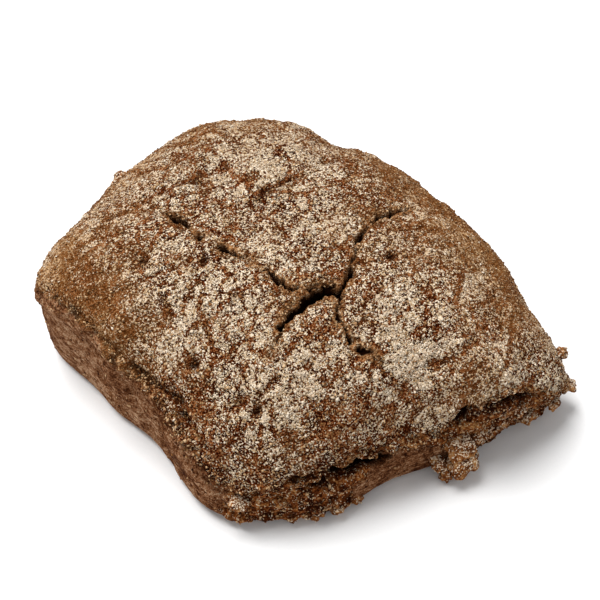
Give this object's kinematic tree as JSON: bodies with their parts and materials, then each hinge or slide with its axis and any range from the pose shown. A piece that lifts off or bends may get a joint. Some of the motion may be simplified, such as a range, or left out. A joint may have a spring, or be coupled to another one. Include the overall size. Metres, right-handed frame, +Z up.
{
  "type": "rye roll",
  "caption": "Squarish free-baked rye roll with a floured, torn crust, smooth brown sides and small crumb crags along its foot.",
  "frame": {"origin": "middle of the roll's box on the surface that its flat base rests on", "axes": "+Z up through the torn crust, -Y towards the side whose crust hangs over its wall, +X to that side's right"},
  "size_m": [0.0996, 0.1002, 0.0372],
  "materials": {
    "crust": "matte"
  },
  "bodies": {
    "root": {"rye_roll": "crust"}
  },
  "joints": []
}
